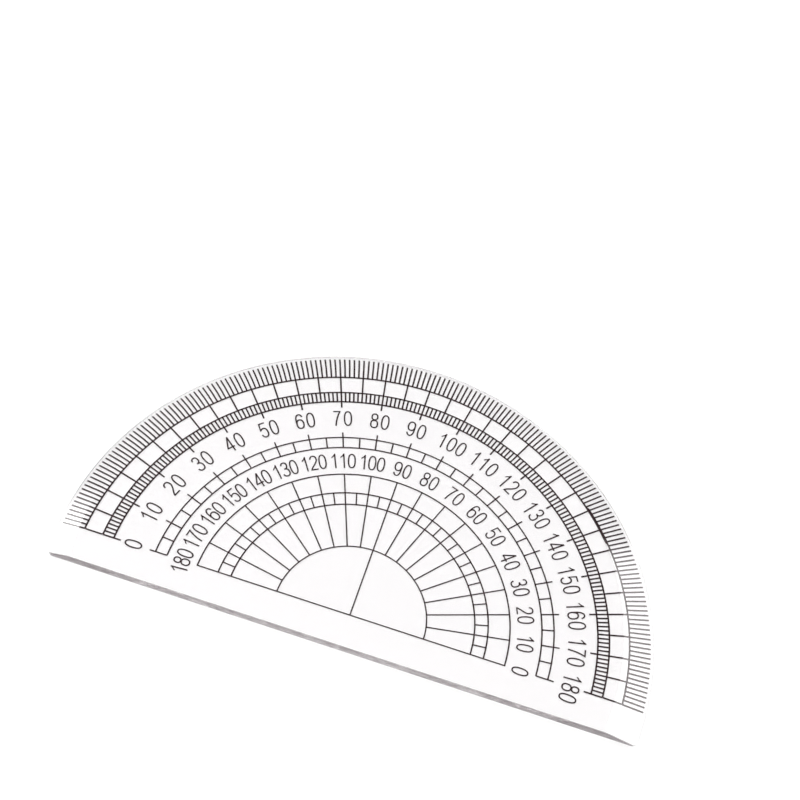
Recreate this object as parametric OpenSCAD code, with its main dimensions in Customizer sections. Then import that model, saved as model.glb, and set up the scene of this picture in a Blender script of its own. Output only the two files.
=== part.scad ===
// Clear half-round protractor, 180 degrees, read from both ends.
//
// One moulded plate with a sloping round edge, and a thin ink print on its underside.
// The origin is the centre mark on the underside. +X runs along the base line to the right,
// +Y points to the middle of the arc and +Z is up. All sizes are in millimetres.

/* [Plate] */
// Overall width across the round edge
plate_w = 100; // [96:1:120]
// Depth of the clear strip below the base line
strip_d = 6.15; // [4:0.05:10]
// Thickness of the flat middle
plate_t = 2; // [1.4:0.1:3]
// Thickness left at the round edge
rim_t = 0.55; // [0.5:0.05:0.8]
// Width of the slope along the round edge
slope_w = 4.6; // [3:0.1:7]
// How far the slope sits to the left of the print
slope_left = 0.9; // [0:0.1:1.2]
// How far the slope sits to the back of the print
slope_back = 1; // [0:0.1:1.2]
// Thinnest that the round edge may get where the slope sits off centre
thin_edge = 0.2; // [0.2:0.05:0.4]
// Radius of the two front corners, seen from above
corner_r = 0.9; // [0.3:0.1:1.5]
// Chamfer that breaks the sharp edges of the moulding
edge_break = 0.1; // [0.05:0.01:0.15]

/* [Rings, from the round edge inwards] */
// From the round edge to the ends of the degree ticks
rim_gap = 0.5; // [0.3:0.05:2]
// Length of the degree ticks
tick_len = 3.75; // [2:0.05:4]
// Depth of the ring of 5 degree cells
cell_d = 3.15; // [2:0.05:3.5]
// Depth of the narrow band of 1 degree ticks
band_d = 1.9; // [1:0.05:2.5]
// Length of the marks that point from the narrow band to the outer numerals
band_mark = 1.2; // [0.5:0.05:1.3]
// From those marks to the tops of the outer numerals
numeral_gap = 0.7; // [0.3:0.05:1]
// Depth of the space that holds the outer numerals
outer_space = 7.25; // [6.6:0.05:8]
// Length of the marks that point from the middle ring to the outer numerals
middle_mark = 1; // [0.5:0.05:1.3]
// Depth of the middle ring of 5 degree cells
middle_d = 2; // [1:0.05:2.5]
// Depth of the space that holds the inner numerals
inner_space = 5.25; // [4:0.05:5.5]
// Length of the outer part of the rays
ray_d = 3.6; // [2:0.05:4]
// Depth of the small ring of 5 degree cells
small_d = 2.2; // [1:0.05:2.5]
// Radius of the open half circle round the centre mark
open_r = 12.5; // [8:0.1:14]

/* [Ink] */
// Thickness of the ink film
ink_t = 0.02; // [0.01:0.01:0.04]
// Width of the bold lines: the degree ticks, the narrow band and the dividers between them
bold_w = 0.27; // [0.12:0.01:0.3]
// Width of the other ring lines
ring_w = 0.23; // [0.1:0.01:0.25]
// Width of the rays, the base line and the centre line
fine_w = 0.21; // [0.1:0.01:0.25]

/* [Numerals] */
// Height of the outer numerals
outer_h = 3; // [2.5:0.05:3.1]
// Height of the inner numerals
inner_h = 2.85; // [2.3:0.05:3]
// Stroke width of the numerals, as a share of their height
stroke_share = 0.08; // [0.06:0.005:0.1]
// Spacing of the digits in an outer number of two, as a share of the height
outer_pair = 0.63; // [0.56:0.01:0.7]
// Spacing of the digits in an outer number of three, as a share of the height
outer_triple = 0.6; // [0.53:0.01:0.65]
// Spacing of the digits in an inner number of two, as a share of the height
inner_pair = 0.58; // [0.56:0.01:0.7]
// Spacing of the digits in an inner number of three, as a share of the height
inner_triple = 0.53; // [0.53:0.01:0.62]
// How far outer numbers up to 90 are printed clockwise of their mark
outer_off = 0.05; // [-0.2:0.01:0.2]
// How far outer numbers from 100 are printed clockwise of their mark
outer_triple_off = 0.2; // [-0.2:0.01:0.2]
// How far inner numbers up to 90 are printed clockwise of their mark
inner_off = 0.13; // [-0.2:0.01:0.2]
// How far inner numbers from 100 are printed clockwise of their mark
inner_triple_off = -0.15; // [-0.2:0.01:0.2]

/* [Hidden] */
$fn = 180;
rim_r = plate_w / 2;
tick_r = rim_r - rim_gap;
edge_r = tick_r - tick_len;
band_out_r = edge_r - cell_d;
band_in_r = band_out_r - band_d;
middle_out_r = band_in_r - outer_space;
middle_in_r = middle_out_r - middle_d;
ray_out_r = middle_in_r - inner_space;
small_out_r = ray_out_r - ray_d;
small_in_r = small_out_r - small_d;
outer_base_r = band_in_r - band_mark - numeral_gap - outer_h;
inner_base_r = (middle_in_r + ray_out_r - inner_h) / 2;
ink_color = [0.13, 0.12, 0.12];
plate_color = [0.9, 0.93, 0.94, 0.45];
values = [0:10:180];

// ---- Plate ----

// The centre of a front corner's circle. It sits a hair further out than a circle that only
// touches both edges, so that it crosses them at an angle and leaves no sliver.
hair = 0.005;
corner_y = corner_r - strip_d - hair;
corner_x = sqrt(pow(rim_r - corner_r + hair, 2) - pow(corner_y, 2));

// What is cut off the right front corner, outside its circle
module corner_waste() {
    out = (rim_r + 1) / (rim_r - corner_r);
    difference() {
        polygon([
            [corner_x, corner_y],
            [corner_x, -strip_d - 1],
            [corner_x + 2, -strip_d - 1],
            [corner_x * out, corner_y * out]
        ]);
        translate([corner_x, corner_y]) circle(corner_r);
    }
}

module plate_outline() {
    difference() {
        circle(rim_r);
        translate([-rim_r - 1, -strip_d - rim_r]) square([2 * rim_r + 2, rim_r]);
        corner_waste();
        mirror([1, 0]) corner_waste();
    }
}

// The round edge below the slope, with its lower edge broken
module edge_section() {
    polygon([
        [0, ink_t],
        [rim_r - edge_break, ink_t],
        [rim_r, ink_t + edge_break],
        [rim_r, ink_t + plate_t],
        [0, ink_t + plate_t]
    ]);
}

// The flat top and the slope round it, as wide as the slope ever reaches
module slope_section() {
    flat_r = rim_r - slope_w;
    thin_r = flat_r + slope_w * (plate_t - thin_edge) / (plate_t - rim_t);
    far_r = thin_r + slope_left + slope_back + 1;
    polygon([
        [0, 0],
        [far_r, 0],
        [far_r, ink_t + thin_edge],
        [thin_r, ink_t + thin_edge],
        [flat_r, ink_t + plate_t],
        [0, ink_t + plate_t]
    ]);
}

// Breaks one long edge of the straight front face, at height z
module front_edge_break(z) {
    translate([-rim_r, -strip_d, z]) rotate([45, 0, 0])
        translate([0, -edge_break / sqrt(2), -edge_break / sqrt(2)])
            cube([2 * rim_r, edge_break * sqrt(2), edge_break * sqrt(2)]);
}

module plate() {
    color(plate_color) difference() {
        intersection() {
            rotate_extrude() edge_section();
            translate([-slope_left, slope_back]) rotate_extrude() slope_section();
            linear_extrude(ink_t + plate_t + 1) plate_outline();
        }
        front_edge_break(ink_t);
        front_edge_break(ink_t + plate_t);
    }
}

// ---- Printed lines ----

// The part of its children that lies above the base line
module above_base(gap) {
    intersection() {
        children();
        translate([-rim_r, gap]) square([2 * rim_r, rim_r]);
    }
}

// A ring line of width w, all the way round
module ring_line(r, w) {
    difference() {
        circle(r + w / 2);
        circle(r - w / 2);
    }
}

// A radial line at angle a, from one radius to another
module ray(a, from_r, to_r, w) {
    rotate(a) translate([from_r, -w / 2]) square([to_r - from_r, w]);
}

// Radial lines every step degrees, trimmed between two radii
module ray_set(first, step, last, from_r, to_r, w) {
    intersection() {
        union() for (a = [first:step:last]) ray(a, from_r - 1, to_r + 1, w);
        difference() {
            circle(to_r);
            circle(from_r);
        }
    }
}

module ink() {
    color(ink_color) linear_extrude(ink_t) children();
}

// The 1 degree ticks at the round edge and the line that they stand on
module degree_ticks() {
    ink() {
        above_base(0) ring_line(edge_r, bold_w);
        for (a = [0:180]) ray(a, edge_r, tick_r, bold_w);
    }
}

// The dividers that stand between the tick line and the narrow band
module five_degree_cells() {
    ink() ray_set(0, 5, 180, band_out_r + bold_w / 2, edge_r - bold_w / 2, bold_w);
}

// The narrow band: two bold lines with 1 degree ticks between, and a longer mark every 10 degrees
module degree_band() {
    ink() {
        above_base(0) {
            ring_line(band_out_r, bold_w);
            ring_line(band_in_r, bold_w);
        }
        for (a = [0:180]) {
            from_r = a % 10 == 0 ? band_in_r - band_mark : band_in_r;
            ray(a, from_r, band_out_r, bold_w);
        }
    }
}

// The middle ring of 5 degree cells, with a mark that points outwards every 10 degrees
module middle_ring() {
    ink() {
        above_base(0) {
            ring_line(middle_out_r, ring_w);
            ring_line(middle_in_r, ring_w);
        }
        for (a = [0:5:180]) {
            to_r = a % 10 == 0 ? middle_out_r + middle_mark : middle_out_r;
            ray(a, middle_in_r, to_r, ring_w);
        }
    }
}

// The outer end of the rays and the arc that closes them
module outer_rays() {
    ink() above_base(fine_w / 2) {
        ring_line(ray_out_r, ring_w);
        ray_set(10, 10, 170, small_out_r + ring_w / 2, ray_out_r, fine_w);
    }
}

// The small ring of 5 degree cells that crosses the rays
module small_ring() {
    ink() above_base(fine_w / 2) {
        ring_line(small_out_r, ring_w);
        ring_line(small_in_r, ring_w);
        for (a = [5:5:175]) ray(a, small_in_r, small_out_r, fine_w);
    }
}

// The inner end of the rays and the open half circle that they start from
module inner_rays() {
    ink() above_base(fine_w / 2) {
        ring_line(open_r, fine_w);
        ray_set(10, 10, 170, open_r, small_in_r - ring_w / 2, fine_w);
    }
}

module base_line() {
    end_x = ray_out_r + ring_w / 2;
    ink() translate([-end_x, -fine_w / 2]) square([2 * end_x, fine_w]);
}

// The 90 degree line from the base line up to the open half circle
module centre_line() {
    ink() intersection() {
        translate([-fine_w / 2, fine_w / 2]) square([fine_w, open_r]);
        circle(open_r - fine_w / 2);
    }
}

// ---- Numerals ----
// A digit is drawn one unit high, on a centre line that a stroke of width w follows.
// x is 0 in the middle of its cell and y is 0 at its foot.

function reversed(p) = [for (i = [len(p) - 1:-1:0]) p[i]];
function unit(v) = v / norm(v);
function left_of(v) = [-v.y, v.x];

// The side step that keeps both edges of a bent stroke parallel to its centre line,
// held back where the bend is so sharp that it would end in a spike
function mitre(a, b) = let (m = unit(left_of(a) + left_of(b))) m / max(m * left_of(a), 0.6);

// The centre line moved sideways by d, for an open line and for a closed one
function beside(p, d) = [
    for (i = [0:len(p) - 1])
        let (
            a = unit(p[max(i, 1)] - p[max(i, 1) - 1]),
            j = min(i, len(p) - 2),
            b = unit(p[j + 1] - p[j])
        )
        p[i] + d * mitre(a, b)
];
function beside_loop(p, d) = [
    for (i = [0:len(p) - 1])
        let (
            n = len(p),
            a = unit(p[i] - p[(i + n - 1) % n]),
            b = unit(p[(i + 1) % n] - p[i])
        )
        p[i] + d * mitre(a, b)
];

// Points on an oval with squared shoulders, from angle a to angle b in n steps
shoulder = 2.35;
function power(v) = sign(v) * pow(abs(v), 2 / shoulder);
function bow(c, r, a, b, n) = [
    for (i = [0:n])
        let (t = a + (b - a) * i / n)
        [c.x + r.x * power(cos(t)), c.y + r.y * power(sin(t))]
];

// A line with two ends, drawn as a stroke of width w
module stroke(p, w) {
    polygon(concat(beside(p, w / 2), reversed(beside(p, -w / 2))));
}

// A closed oval, drawn as a stroke of width w
module loop(c, r, w) {
    n = 28;
    p = bow(c, r, 0, 360 - 360 / n, n - 1);
    polygon(
        concat(beside_loop(p, -w / 2), beside_loop(p, w / 2)),
        paths = [[for (i = [0:n - 1]) i], [for (i = [n:2 * n - 1]) i]]
    );
}

module digit_0(w) {
    loop([0, 0.5], [0.2, 0.5 - w / 2], w);
}

module digit_1(w) {
    stem = 0.065;
    polygon([
        [stem + w / 2, 0],
        [stem + w / 2, 1],
        [stem - w / 4, 1],
        [stem - 0.09, 0.875],
        [-0.145, 0.765],
        [-0.145, 0.765 - 1.1 * w],
        [-0.05, 0.765],
        [stem - w / 2, 0.83],
        [stem - w / 2, 0]
    ]);
}

module digit_2(w) {
    stroke(concat(
        bow([0, 0.72], [0.185, 0.28 - w / 2], 175, -15, 14),
        [[0.135, 0.54], [0.06, 0.415], [-0.09, 0.235], [-0.165, 0.125], [-0.2, w / 2], [0.205, w / 2]]
    ), w);
}

module digit_3(w) {
    stroke(concat(bow([-0.01, 0.752], [0.165, 0.248 - w / 2], 172, -70, 16), [[-0.06, 0.54]]), w);
    stroke(concat([[-0.05, 0.535]], bow([-0.005, 0.283], [0.195, 0.283 - w / 2], 75, -170, 18)), w);
}

module digit_4(w) {
    stem = [0.095 - w / 2, 0.095 + w / 2];
    bar = [0.25, 0.25 + w];
    tip = [-0.245, bar[1]];
    slope = unit([stem[0], 1] - tip);
    polygon(
        [
            [stem[0], 0], [stem[1], 0], [stem[1], bar[0]], [0.225, bar[0]],
            [0.225, bar[1]], [stem[1], bar[1]], [stem[1], 1], [stem[0], 1],
            tip, [tip.x, bar[0]], [stem[0], bar[0]],
            [stem[0], bar[1]], [stem[0], 1 - w / slope.x], [tip.x + w / slope.y, bar[1]]
        ],
        paths = [[for (i = [0:10]) i], [11, 12, 13]]
    );
}

module digit_5(w) {
    stroke(concat(
        [[0.19, 1 - w / 2], [-0.13, 1 - w / 2], [-0.18, 0.51]],
        bow([0.005, 0.33], [0.19, 0.33 - w / 2], 125, -165, 20)
    ), w);
}

// One stroke runs over the top, down the left side and round the bowl until it meets itself
module digit_6(w) {
    sweep = [[0, 0.53], [0.2, 0.47 - w / 2]];
    bowl = [[0, 0.325], [0.195, 0.325 - w / 2]];
    n = 28;
    spine = concat(bow(sweep[0], sweep[1], 32, 180, 13), bow(bowl[0], bowl[1], 180, 490, 28));
    outside = beside(spine, -w / 2);
    inside = reversed(beside(bow(sweep[0], sweep[1], 32, 168, 12), w / 2));
    hole = bow(bowl[0], bowl[1] - [w / 2, w / 2], 0, 360 - 360 / n, n - 1);
    rim = len(outside) + len(inside);
    polygon(
        concat(outside, inside, hole),
        paths = [[for (i = [0:rim - 1]) i], [for (i = [rim:rim + n - 1]) i]]
    );
}

module digit_7(w) {
    stroke([
        [-0.2, 1 - w / 2],
        [0.185, 1 - w / 2],
        [0.095, 0.77],
        [0.015, 0.53],
        [-0.05, 0.27],
        [-0.085, 0]
    ], w);
}

module digit_8(w) {
    loop([0, 0.765], [0.165, 0.235 - w / 2], w);
    loop([0, 0.285], [0.195, 0.285 - w / 2], w);
}

module digit_9(w) {
    translate([0, 1]) rotate(180) digit_6(w);
}

module digit(d, w) {
    if (d == 0) digit_0(w);
    if (d == 1) digit_1(w);
    if (d == 2) digit_2(w);
    if (d == 3) digit_3(w);
    if (d == 4) digit_4(w);
    if (d == 5) digit_5(w);
    if (d == 6) digit_6(w);
    if (d == 7) digit_7(w);
    if (d == 8) digit_8(w);
    if (d == 9) digit_9(w);
}

// The digits of a number up to 180, first digit first
function digits(v) = v > 99 ? [1, floor(v / 10) % 10, v % 10] : v > 9 ? [floor(v / 10), v % 10] : [v];

// A number whose digits stand one by one on the circle of radius r, round the ray at angle a.
// pitch is the share of the height h from digit to digit, and off moves the number clockwise.
module numeral(v, a, r, h, pitch, off) {
    row = digits(v);
    for (i = [0:len(row) - 1]) {
        along = off + (i - (len(row) - 1) / 2) * pitch * h;
        rotate(a - 90 - along / (r + h / 2) * 180 / PI)
            translate([0, r]) scale(h) digit(row[i], stroke_share);
    }
}

// The outer numerals rise from 0 at the left end to 180 at the right end
module outer_numeral(v) {
    pitch = v > 99 ? outer_triple : outer_pair;
    off = v > 99 ? outer_triple_off : outer_off;
    ink() numeral(v, 180 - v, outer_base_r, outer_h, pitch, off);
}

// The inner numerals rise from 0 at the right end to 180 at the left end
module inner_numeral(v) {
    pitch = v > 99 ? inner_triple : inner_pair;
    off = v > 99 ? inner_triple_off : inner_off;
    ink() numeral(v, v, inner_base_r, inner_h, pitch, off);
}

plate();
degree_ticks();
five_degree_cells();
degree_band();
middle_ring();
outer_rays();
small_ring();
inner_rays();
base_line();
centre_line();
for (v = values) {
    outer_numeral(v);
    inner_numeral(v);
}
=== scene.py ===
"""The looks of a clear half-round protractor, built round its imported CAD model. Lengths are in metres."""

import math

import bmesh
import bpy
from mathutils import Matrix, Vector


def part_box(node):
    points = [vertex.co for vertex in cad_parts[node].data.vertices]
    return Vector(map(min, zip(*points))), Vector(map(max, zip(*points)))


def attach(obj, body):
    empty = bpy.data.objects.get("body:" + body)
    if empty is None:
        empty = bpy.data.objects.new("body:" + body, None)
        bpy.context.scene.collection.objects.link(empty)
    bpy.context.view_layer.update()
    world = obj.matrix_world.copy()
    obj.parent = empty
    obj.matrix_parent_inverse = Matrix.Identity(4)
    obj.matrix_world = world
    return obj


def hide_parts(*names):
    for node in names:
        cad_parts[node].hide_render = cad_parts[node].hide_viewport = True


MM = 0.001

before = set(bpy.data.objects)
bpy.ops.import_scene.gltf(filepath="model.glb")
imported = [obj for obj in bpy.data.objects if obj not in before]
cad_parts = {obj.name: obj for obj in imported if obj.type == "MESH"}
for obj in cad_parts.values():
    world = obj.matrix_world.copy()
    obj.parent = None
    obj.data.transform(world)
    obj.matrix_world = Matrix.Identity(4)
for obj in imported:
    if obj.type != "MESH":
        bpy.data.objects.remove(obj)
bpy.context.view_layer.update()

# ---- The plate's driving dimensions, as the CAD model has them ----

plate_low, plate_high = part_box("plate")
RIM_R = 50 * MM
STRIP_D = -plate_low.y                      # from the base line to the straight edge
TOP_Z = plate_high.z
INK_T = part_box("base_line")[1].z
RIM_T = 0.55 * MM                           # thickness at the round edge, if the slope were centred
SLOPE_W = 4.6 * MM                          # width of the slope, if it were centred
THIN_EDGE = 0.2 * MM                        # least thickness at the round edge
CORNER_R = 0.9 * MM                         # rounding of the two ends of the straight edge
FLAT_CENTRE = Vector((-0.9 * MM, 1 * MM))   # centre of the circle where the flat top ends

FLAT_R = RIM_R - SLOPE_W
SLOPE_FALL = (TOP_Z - INK_T - RIM_T) / SLOPE_W      # how far the slope falls for each metre outwards
CORNER_Y = CORNER_R - STRIP_D
CORNER_CENTRE = Vector((math.sqrt((RIM_R - CORNER_R) ** 2 - CORNER_Y ** 2), CORNER_Y))

# ---- How the mesh of the plate is rounded and divided ----

SUNK = 0.4 * INK_T          # how deep the ink's upper face sits in the plastic
UNDER_Z = INK_T - SUNK
CREASE_BLEND = 0.14 * MM    # half the width of the soft bend between the flat top and the slope
EDGE_R = 0.09 * MM          # rounding of the plate's edges
SUPPORT = 0.35 * MM         # distance of the rings that keep the flats flat beside a rounding
ARC_STEP = math.radians(0.5)
LINE_STEP = 1 * MM
CORNER_STEPS = 10
ROUND_STEPS = 4
WELD = 0.002 * MM           # points closer than this become one
SLIVER = 0.001 * MM         # edges shorter than this are dissolved

# Distances outwards from the middle of the soft bend: where the bend and its support rings lie
CREASE_EDGES = (-CREASE_BLEND - SUPPORT, -CREASE_BLEND, 0, CREASE_BLEND, CREASE_BLEND + SUPPORT)
CREASE_RINGS = sorted(CREASE_EDGES + (-CREASE_BLEND / 2, CREASE_BLEND / 2))


def direction(turn):
    """The unit vector in the plate's plane at the angle turn from +X."""
    return Vector((math.cos(turn), math.sin(turn)))


def circle_reach(way, centre, radius):
    """Distance from the origin to the far side of a circle, in the direction way."""
    along = way.dot(centre)
    return along + math.sqrt(along ** 2 - centre.length_squared + radius ** 2)


def outline_reach(turn, inset):
    """Distance from the origin to the plate's outline, moved inwards by inset, in the direction turn."""
    way = direction(turn)
    centre = Vector((math.copysign(CORNER_CENTRE.x, way.x), CORNER_CENTRE.y))
    round_r = CORNER_R - inset
    if way.y >= 0 or abs(way.x) * -centre.y >= -way.y * abs(centre.x):
        return RIM_R - inset
    if round_r > 0 and abs(way.x) * (round_r - centre.y) > -way.y * abs(centre.x):
        return circle_reach(way, centre, round_r)
    return (STRIP_D - inset) / -way.y


def crease_reach(turn, outwards):
    """Distance to the edge of the flat top, moved outwards, but not past the outline's support ring."""
    crease = circle_reach(direction(turn), FLAT_CENTRE, FLAT_R + outwards)
    return min(crease, outline_reach(turn, SUPPORT))


def top_height(point):
    """Height of the top face over a point: flat, then a soft bend, then the slope."""
    past = (point - FLAT_CENTRE).length - FLAT_R
    if past < -CREASE_BLEND:
        return TOP_Z
    if past < CREASE_BLEND:
        return TOP_Z - SLOPE_FALL * (past + CREASE_BLEND) ** 2 / (4 * CREASE_BLEND)
    return max(TOP_Z - SLOPE_FALL * past, INK_T + THIN_EDGE)


def spoke_turns():
    """Directions of the mesh's spokes: even along the arc, round each corner and along the straight edge."""
    first = math.atan2(CORNER_CENTRE.y, CORNER_CENTRE.x)
    foot = math.atan2(-STRIP_D, CORNER_CENTRE.x)
    arc_count = round((math.pi - 2 * first) / ARC_STEP)
    turns = [first + (math.pi - 2 * first) * i / arc_count for i in range(arc_count + 1)]
    corner = [first + (foot - first) * i / CORNER_STEPS for i in range(1, CORNER_STEPS + 1)]
    turns += [math.pi - t for t in corner] + corner
    line_count = round(2 * CORNER_CENTRE.x / LINE_STEP)
    line_x = [CORNER_CENTRE.x * (2 * i / line_count - 1) for i in range(1, line_count)]
    for outwards in CREASE_EDGES:
        half = math.sqrt((FLAT_R + outwards) ** 2 - (STRIP_D + FLAT_CENTRE.y) ** 2)
        line_x += [FLAT_CENTRE.x - half, FLAT_CENTRE.x + half]
    turns += [math.atan2(-STRIP_D, x) for x in line_x]
    return sorted(t % (2 * math.pi) for t in turns)


def top_point(turn, reach):
    """The point of the top face at that distance from the origin, in the direction turn."""
    flat = direction(turn) * reach
    return Vector((flat.x, flat.y, top_height(flat)))


def outline_point(turn, inset, height):
    """The point at that height, on the outline moved inwards by inset."""
    flat = direction(turn) * outline_reach(turn, inset)
    return Vector((flat.x, flat.y, height))


def plate_rings(turns):
    """Rings of points, from just inside the soft bend, over the edge, to the underside."""
    rings = [[top_point(t, crease_reach(t, outwards)) for t in turns] for outwards in CREASE_RINGS]
    rings.append([top_point(t, outline_reach(t, SUPPORT)) for t in turns])
    shoulders = [top_point(t, outline_reach(t, EDGE_R)).z for t in turns]
    quarter = [math.pi / 2 * i / ROUND_STEPS for i in range(ROUND_STEPS + 1)]
    for a in quarter:
        inset = EDGE_R * (1 - math.sin(a))
        drop = EDGE_R * (1 - math.cos(a))
        rings.append([outline_point(t, inset, z - drop) for t, z in zip(turns, shoulders)])
    for a in quarter:
        inset = EDGE_R * (1 - math.cos(a))
        rise = EDGE_R * (1 - math.sin(a))
        rings.append([outline_point(t, inset, UNDER_Z + rise) for t in turns])
    rings.append([outline_point(t, SUPPORT, UNDER_Z) for t in turns])
    return rings


def make_plate():
    """The clear moulding, as one closed mesh."""
    turns = spoke_turns()
    count = len(turns)
    mesh = bmesh.new()
    loops = [[mesh.verts.new(p) for p in ring] for ring in plate_rings(turns)]
    middle_top = mesh.verts.new((0, 0, TOP_Z))
    middle_under = mesh.verts.new((0, 0, UNDER_Z))
    for i in range(count):
        j = (i + 1) % count
        mesh.faces.new((middle_top, loops[0][i], loops[0][j]))
        mesh.faces.new((middle_under, loops[-1][j], loops[-1][i]))
        for inner, outer in zip(loops, loops[1:]):
            mesh.faces.new((inner[i], outer[i], outer[j], inner[j]))
    bmesh.ops.remove_doubles(mesh, verts=mesh.verts, dist=WELD)
    bmesh.ops.dissolve_degenerate(mesh, edges=mesh.edges, dist=SLIVER)
    bmesh.ops.recalc_face_normals(mesh, faces=mesh.faces)
    for face in mesh.faces:
        face.smooth = True
    data = bpy.data.meshes.new("clear_plate")
    mesh.to_mesh(data)
    mesh.free()
    piece = bpy.data.objects.new("clear_plate", data)
    bpy.context.scene.collection.objects.link(piece)
    return piece


# ---- Shader nodes ----


def feed(socket, value):
    """Give a socket its value: another node's output, or a constant."""
    if isinstance(value, bpy.types.NodeSocket):
        socket.id_data.links.new(value, socket)
    else:
        socket.default_value = value


def node_adder(tree):
    """A function that adds a shader node to the tree, with its settings and what its sockets take."""

    def add(kind, settings=None, **inputs):
        node = tree.nodes.new("ShaderNode" + kind)
        for key, value in (settings or {}).items():
            setattr(node, key, value)
        for key, value in inputs.items():
            feed(node.inputs[key.replace("_", " ")], value)
        return node

    return add


def combine(add, operation, first, second):
    """first and second joined by a math operation."""
    node = add("Math", {"operation": operation})
    feed(node.inputs[0], first)
    feed(node.inputs[1], second)
    return node.outputs[0]


def ramp(add, value, low, high, to_low, to_high):
    """value between low and high, mapped to to_low and to_high."""
    node = add("MapRange", Value=value, From_Min=low, From_Max=high, To_Min=to_low, To_Max=to_high)
    return node.outputs[0]


def noise(add, place, scale, detail, roughness=0.5):
    """A noise pattern with about scale features to the metre."""
    return add("TexNoise", Vector=place, Scale=scale, Detail=detail, Roughness=roughness).outputs[0]


def stretched_noise(add, place, scales, detail):
    """A noise pattern with a different number of features to the metre along X, Y and Z."""
    return noise(add, add("Mapping", Vector=place, Scale=scales).outputs[0], 1, detail)


def new_material(name):
    """A material with an empty node tree, and the function that adds its nodes."""
    material = bpy.data.materials.new(name)
    material.use_nodes = True
    material.node_tree.nodes.clear()
    return material, node_adder(material.node_tree)


# ---- Clear plastic ----

ACRYLIC_IOR = 1.49
CLEAR_TINT = (0.998, 0.983, 0.991, 1)
# Colours of the straight edge: partly marks on the cut face, partly painted shade and painted light standing
# in for light piped through the plate
EDGE_DARK_MARK_AND_SHADE = (0.84, 0.76, 0.79, 1)
EDGE_PALE_MARK_AND_LIGHT = (1, 0.96, 0.975, 1)
EDGE_SPECK_AND_SHADE = (0.45, 0.4, 0.43, 1)
EDGE_CLEARNESS = 0.76       # how clear the straight edge is, where a polished face is 1

# Features of the noise patterns to the metre
WAVES = 55
SCUFFS = (900, 5200, 3000)
GRAIN = 2600
STREAKS = (70, 70, 4200)
# The blotches and specks on the straight edge are partly marks and partly painted shade
BLOTCHES_AND_SHADE = (300, 300, 2200)
SPECKS_AND_SHADE = (700, 700, 2600)

# The share of a shadow ray or diffuse ray that passes a face, seen head-on and at a low angle
PASSING_STEEP = 0.998
PASSING_LOW = 0.1


def straight_edge_mask(add, place):
    """1 on the straight edge, and 0 on every other face."""
    normal_z = add("SeparateXYZ", Vector=add("NewGeometry").outputs["Normal"]).outputs["Z"]
    lean = add("Math", {"operation": "ABSOLUTE"}, Value=normal_z).outputs[0]
    upright = ramp(add, lean, 0.3, 0.7, 1, 0)
    depth = add("SeparateXYZ", Vector=place).outputs["Y"]
    straight = ramp(add, depth, -STRIP_D, CORNER_R / 2 - STRIP_D, 1, 0)
    return combine(add, "MULTIPLY", upright, straight)


def plastic_roughness(add, place, edge, grain, streaks):
    """Polished with a faint grain and hairline scuffs, and rougher in streaks on the straight edge."""
    worn = ramp(add, stretched_noise(add, place, SCUFFS, 4), 0.62, 0.78, 0, 0.06)
    sheen = ramp(add, grain, 0.3, 0.7, 0.004, 0.02)
    polish = combine(add, "ADD", worn, sheen)
    return add("Mix", Factor=edge, A=polish, B=ramp(add, streaks, 0.4, 0.7, 0.02, 0.12)).outputs[0]


def plastic_relief(add, place, edge, grain, streaks):
    """Long moulding waves, a fine grain, and streaks along the straight edge."""
    waves = noise(add, place, WAVES, 2, 0.4)
    normal = add("Bump", Height=waves, Strength=0.25, Distance=0.02 * MM).outputs[0]
    normal = add("Bump", Height=grain, Strength=0.15, Distance=0.002 * MM, Normal=normal).outputs[0]
    lines = combine(add, "MULTIPLY", streaks, edge)
    return add("Bump", Height=lines, Strength=0.3, Distance=0.02 * MM, Normal=normal).outputs[0]


def plastic_tint_and_edge_shade(add, place, edge):
    """Nearly colourless, with mauve blotches and dark specks on the straight edge: partly marks on the cut
    face, partly painted shade and painted light of light piped through the plate.
    """
    pale_marks_and_light = ramp(add, stretched_noise(add, place, BLOTCHES_AND_SHADE, 3), 0.42, 0.6, 0, 1)
    marks_and_painted_shade = add("MixRGB", Fac=pale_marks_and_light, Color1=EDGE_DARK_MARK_AND_SHADE, Color2=EDGE_PALE_MARK_AND_LIGHT).outputs[0]
    specks_and_shade = ramp(add, stretched_noise(add, place, SPECKS_AND_SHADE, 2), 0.56, 0.63, 0, 1)
    edge_marks_and_shade = add("MixRGB", Fac=specks_and_shade, Color1=marks_and_painted_shade, Color2=EDGE_SPECK_AND_SHADE).outputs[0]
    return add("MixRGB", Fac=edge, Color1=CLEAR_TINT, Color2=edge_marks_and_shade).outputs[0]


def let_light_pass(add, body):
    """The shader body, but shadow rays and diffuse rays go straight through, dimmed at a low angle."""
    path = add("LightPath").outputs
    straight = combine(add, "MAXIMUM", path["Is Shadow Ray"], path["Is Diffuse Ray"])
    facing = add("LayerWeight", Blend=0.5).outputs["Facing"]
    share = ramp(add, facing, 0.47, 0.78, PASSING_STEEP, PASSING_LOW)
    shade = add("CombineColor", Red=share, Green=share, Blue=share).outputs[0]
    mixed = add("MixShader", Fac=straight)
    feed(mixed.inputs[1], body)
    feed(mixed.inputs[2], add("BsdfTransparent", Color=shade).outputs[0])
    return mixed.outputs[0]


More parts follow.
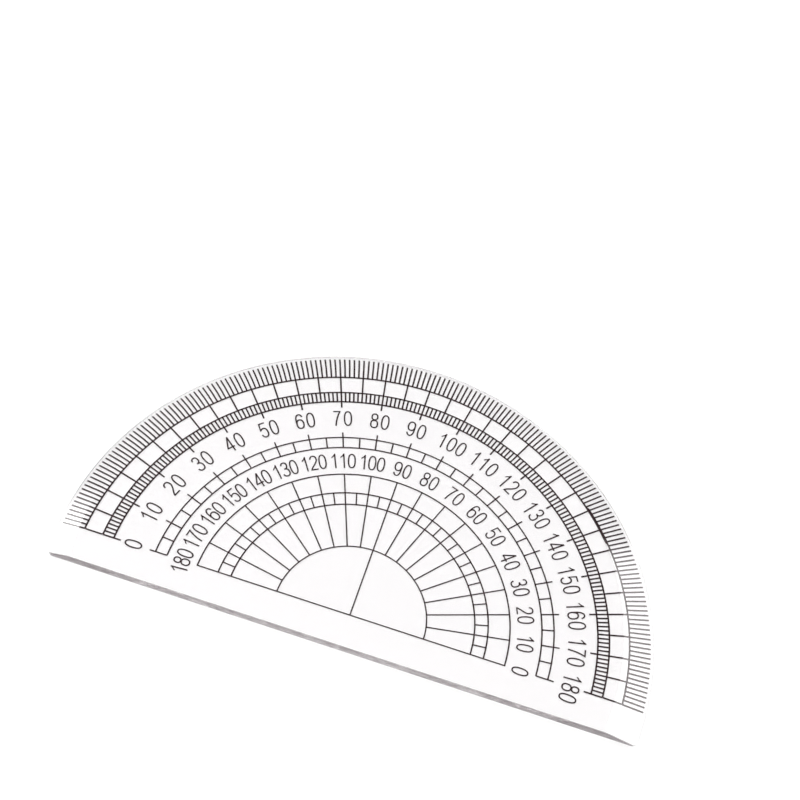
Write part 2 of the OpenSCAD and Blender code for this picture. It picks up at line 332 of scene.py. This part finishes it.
def clear_plastic():
    """Clear moulded plastic with polished faces, and a straight edge that is streaky and partly matt."""
    material, add = new_material("clear_plastic")
    place = add("TexCoord").outputs["Object"]
    edge = straight_edge_mask(add, place)
    grain = noise(add, place, GRAIN, 3, 0.6)
    streaks = stretched_noise(add, place, STREAKS, 4)
    body = add(
        "BsdfPrincipled",
        Base_Color=plastic_tint_and_edge_shade(add, place, edge),
        IOR=ACRYLIC_IOR,
        Transmission_Weight=ramp(add, edge, 0, 1, 1, EDGE_CLEARNESS),
        Roughness=plastic_roughness(add, place, edge, grain, streaks),
        Normal=plastic_relief(add, place, edge, grain, streaks),
    )
    add("OutputMaterial", Surface=let_light_pass(add, body.outputs[0]))
    return material


# ---- Ink ----

INK_DARK = (0.014, 0.005, 0.006, 1)
INK_LIGHT = (0.03, 0.013, 0.015, 1)
INK_GRAIN = 2400
INK_CLOUDS = 120


def printed_ink():
    """Screen-printed ink: brownish black, matt, with small changes of density and a rough surface."""
    material, add = new_material("printed_ink")
    place = add("TexCoord").outputs["Object"]
    grain = noise(add, place, INK_GRAIN, 4, 0.6)
    density = combine(add, "MULTIPLY", grain, noise(add, place, INK_CLOUDS, 2))
    colours = add("ValToRGB", Fac=density)
    dark, light = colours.color_ramp.elements
    dark.position = 0.12
    dark.color = INK_DARK
    light.position = 0.4
    light.color = INK_LIGHT
    body = add(
        "BsdfPrincipled",
        Base_Color=colours.outputs[0],
        Roughness=ramp(add, grain, 0.3, 0.7, 0.42, 0.68),
        Specular_IOR_Level=0.15,
        Normal=add("Bump", Height=grain, Strength=0.4, Distance=0.004 * MM).outputs[0],
    )
    add("OutputMaterial", Surface=body.outputs[0])
    return material


# ---- Studio ----

FLOOR_HALF = 3.0            # half the side of the floor
FLOOR_Z = -0.08 * MM        # just below the print
FLOOR_CLOUDS = 6

HORIZON = 1.25              # brightness of the white horizon
ROOM = 0.28                 # brightness of the room above it
HORIZON_TOP = 0.12          # sine of the elevation up to which the horizon is white
ROOM_START = 0.45           # sine of the elevation where the room begins
ROOM_TINT = (1, 0.995, 0.99, 1)

# Each side light: its direction, the angles from it in degrees where it stops being full and where
# it ends, how it falls off between them, and its brightness
RIGHT_GLOW = {"way": (0.555, 0.535, 0.635), "full": 12, "none": 16, "falloff": 1, "radiance": 4.9}
LEFT_GLOW = {"way": (-0.71, 0.31, 0.63), "full": 3, "none": 11.5, "falloff": 1.5, "radiance": 14.5}

KEY_WAY = (-0.30, -0.45, 0.84)
KEY_DISTANCE = 1.6
KEY_SIZE = 1.1
KEY_RADIANCE = 5.5

CAMERA_AT = Vector((17.82, -120.85, 256.67)) * MM
CAMERA_AIM = Vector((-4.44, 42.25, 0.75)) * MM
CAMERA_ROLL = math.radians(11.02)
CAMERA_LENS = 78.23         # in mm, as is the width of the sensor
SENSOR_W = 36
BOUNCES = 64                # enough for light that is caught inside the clear plate


def make_camera():
    """The camera, aimed at the plate and rolled about its own axis."""
    data = bpy.data.cameras.new("camera")
    data.lens = CAMERA_LENS
    data.sensor_width = SENSOR_W
    data.clip_start = 0.01
    data.clip_end = 20
    camera = bpy.data.objects.new("camera", data)
    bpy.context.scene.collection.objects.link(camera)
    aim = (CAMERA_AIM - CAMERA_AT).to_track_quat("-Z", "Y").to_matrix().to_4x4()
    camera.matrix_world = Matrix.Translation(CAMERA_AT) @ aim @ Matrix.Rotation(CAMERA_ROLL, 4, "Z")
    bpy.context.scene.camera = camera


def floor_white():
    """A matt white that changes very slightly from place to place."""
    material, add = new_material("floor_white")
    clouds = noise(add, add("TexCoord").outputs["Object"], FLOOR_CLOUDS, 2)
    level = ramp(add, clouds, 0, 1, 0.89, 0.91)
    colour = add("CombineColor", Red=level, Green=level, Blue=level).outputs[0]
    add("OutputMaterial", Surface=add("BsdfDiffuse", Color=colour).outputs[0])
    return material


def make_floor():
    """The plain pale floor."""
    corners = ((-1, -1), (1, -1), (1, 1), (-1, 1))
    data = bpy.data.meshes.new("floor")
    data.from_pydata([(x * FLOOR_HALF, y * FLOOR_HALF, FLOOR_Z) for x, y in corners], [], [(0, 1, 2, 3)])
    floor = bpy.data.objects.new("floor", data)
    bpy.context.scene.collection.objects.link(floor)
    data.materials.append(floor_white())


def world_glow(add, place, way, full, none, falloff, radiance):
    """Brightness of one round soft light in the world."""
    toward = add("VectorMath", {"operation": "DOT_PRODUCT"}, Vector=place)
    feed(toward.inputs[1], Vector(way).normalized())
    end = math.cos(math.radians(none))
    start = math.cos(math.radians(full))
    level = ramp(add, toward.outputs["Value"], end, start, 0, 1)
    return combine(add, "MULTIPLY", combine(add, "POWER", level, falloff), radiance)


def make_world():
    """A dim room with a white horizon and a soft light at either side."""
    world = bpy.data.worlds.new("studio")
    bpy.context.scene.world = world
    world.use_nodes = True
    add = node_adder(world.node_tree)
    place = add("TexCoord").outputs["Generated"]
    brightness = add(
        "MapRange",
        {"interpolation_type": "SMOOTHSTEP"},
        Value=add("SeparateXYZ", Vector=place).outputs["Z"],
        From_Min=HORIZON_TOP,
        From_Max=ROOM_START,
        To_Min=HORIZON,
        To_Max=ROOM,
    ).outputs[0]
    for glow in (RIGHT_GLOW, LEFT_GLOW):
        brightness = combine(add, "ADD", brightness, world_glow(add, place, **glow))
    background = world.node_tree.nodes["Background"]
    feed(background.inputs["Strength"], brightness)
    feed(background.inputs["Color"], ROOM_TINT)


def make_key_light():
    """One large soft light behind the camera, aimed at the plate."""
    data = bpy.data.lights.new("key_box", "AREA")
    data.shape = "SQUARE"
    data.size = KEY_SIZE
    data.energy = KEY_RADIANCE * math.pi * KEY_SIZE ** 2
    light = bpy.data.objects.new("key_box", data)
    bpy.context.scene.collection.objects.link(light)
    away = Vector(KEY_WAY).normalized()
    light.location = away * KEY_DISTANCE
    light.rotation_euler = away.to_track_quat("Z", "Y").to_euler()


def set_look():
    """Plain colours, and the number of bounces that the clear plate takes."""
    scene = bpy.context.scene
    scene.view_settings.view_transform = "Standard"
    scene.view_settings.look = "None"
    scene.cycles.max_bounces = BOUNCES
    scene.cycles.transmission_bounces = BOUNCES
    scene.cycles.glossy_bounces = BOUNCES
    scene.cycles.diffuse_bounces = 4
    scene.cycles.transparent_max_bounces = 32
    scene.cycles.use_denoising = True


make_camera()
make_floor()
make_world()
make_key_light()
set_look()

plate = make_plate()
plate.data.materials.append(clear_plastic())
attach(plate, "root")
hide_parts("plate")

ink = printed_ink()
for name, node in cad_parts.items():
    if name != "plate":
        node.data.materials.clear()
        node.data.materials.append(ink)
